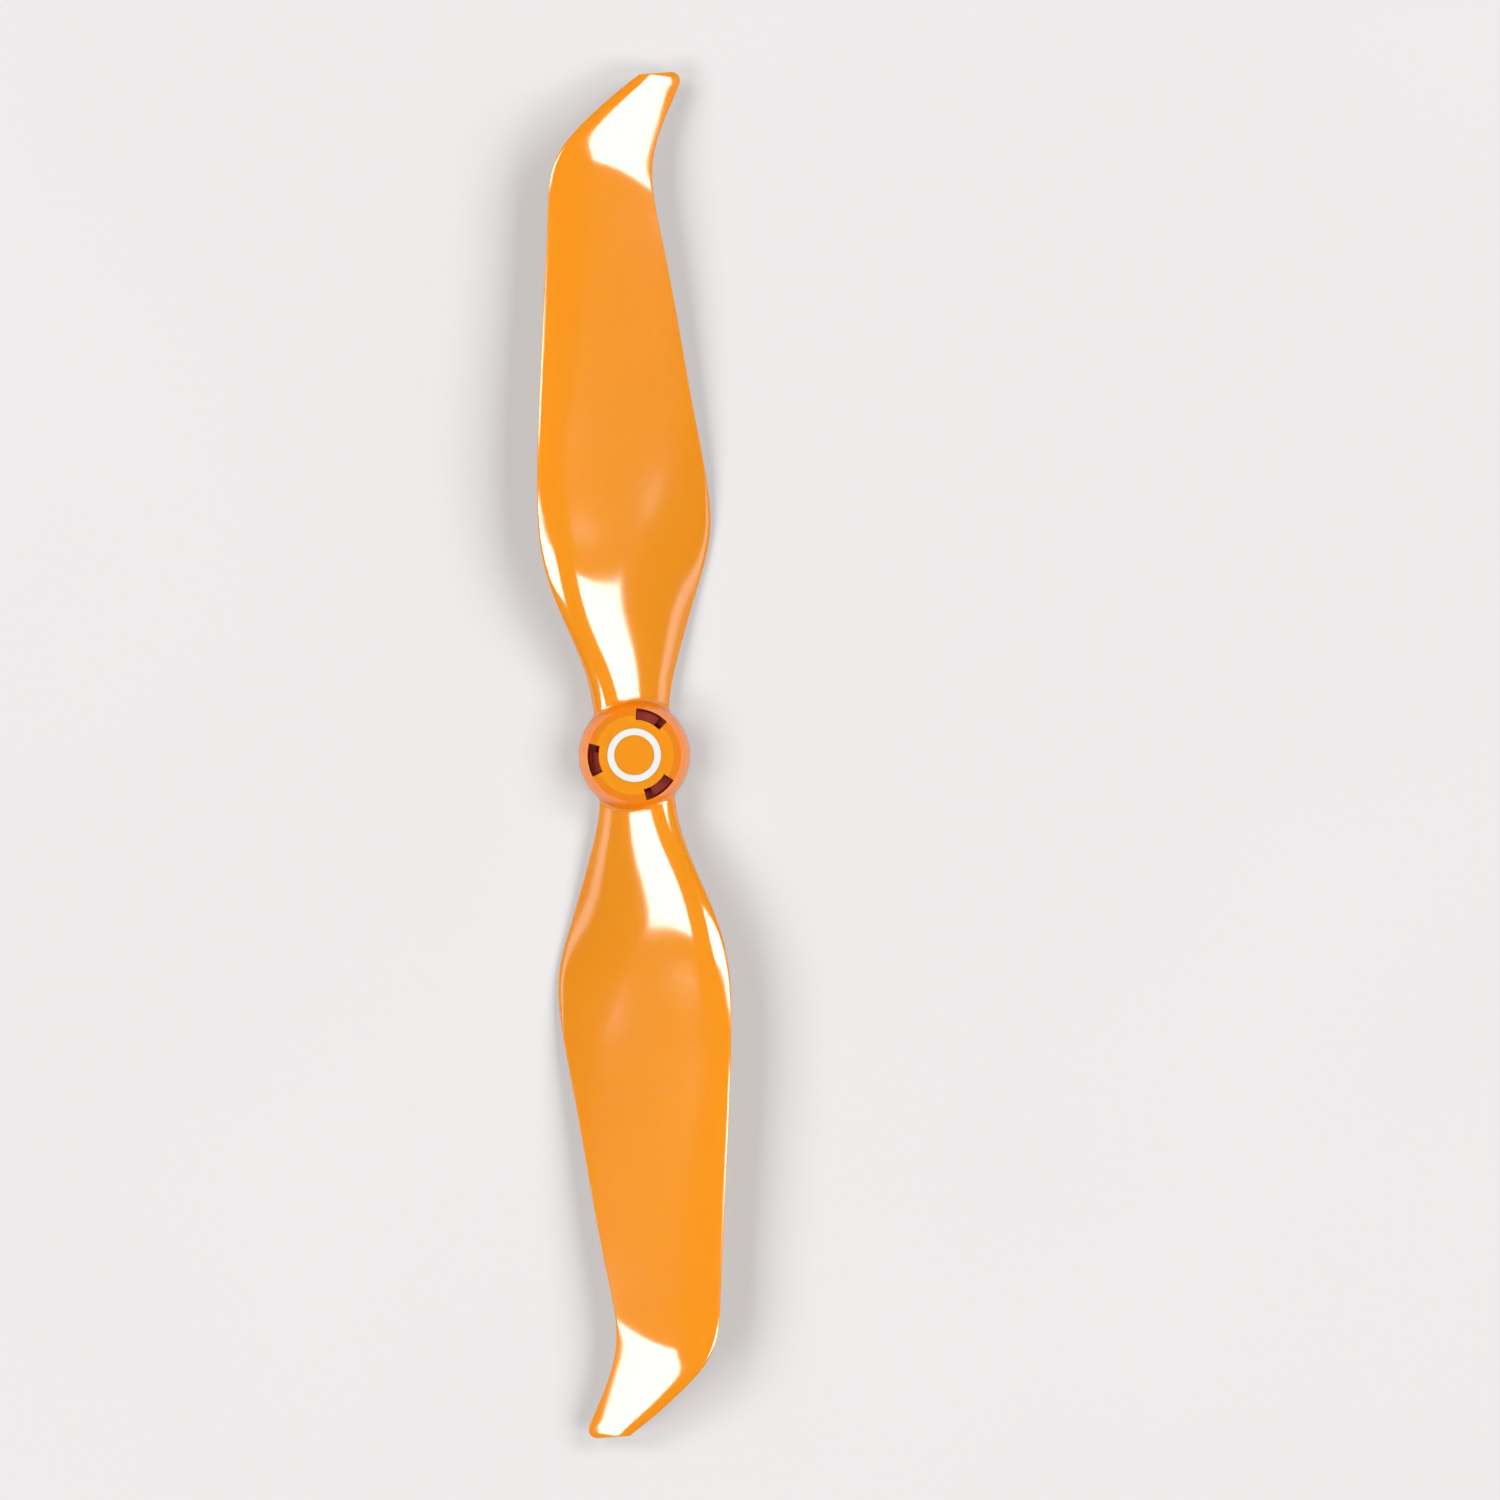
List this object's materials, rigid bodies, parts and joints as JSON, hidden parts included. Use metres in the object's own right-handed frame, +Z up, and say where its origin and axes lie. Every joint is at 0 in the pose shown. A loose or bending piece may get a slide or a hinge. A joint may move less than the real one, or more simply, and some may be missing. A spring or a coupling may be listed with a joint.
{
  "type": "quick-release drone propeller",
  "caption": "Drone propeller with swept blade tips, whose hollow hub is pushed and twisted on to a sprung plate with hooked claws.",
  "frame": {"origin": "on the spin axis, in the face of the claw plate that rests on the motor", "axes": "+Z up along the spin axis, away from the motor; +Y along the blades; the +Y blade's leading edge faces -X, so it turns counter-clockwise from above"},
  "size_m": [0.034, 0.2386, 0.0138],
  "materials": {
    "orange_nylon": "glossy injection-moulded orange nylon",
    "white_plastic": "smooth white plastic",
    "red_metal": "dark red anodised, fine satin",
    "red_acetal": "satin dark red acetal",
    "spring_steel": "bright drawn spring wire"
  },
  "bodies": {
    "motor_mount": {"claw_plate": "red_metal", "retaining_ring": "spring_steel", "spring_1": "spring_steel", "spring_2": "spring_steel", "spring_3": "spring_steel"},
    "pressure": {"pressure_plate": "red_acetal"},
    "propeller": {"airscrew": "orange_nylon", "marker_ring": "white_plastic"}
  },
  "joints": [
    {"name": "press", "type": "slide", "parent": "motor_mount", "child": "pressure", "axis": [0, 0, 1], "range_m": [-0.0008, 0], "stiffness_N_per_m": 2000, "springref_m": 0.001, "deforming": ["spring_1", "spring_2", "spring_3"]},
    {"name": "twist_lock", "type": "hinge", "parent": "pressure", "child": "propeller", "pos_m": [0, 0, 0], "axis": [0, 0, 1], "range_deg": [0, 45]}
  ]
}
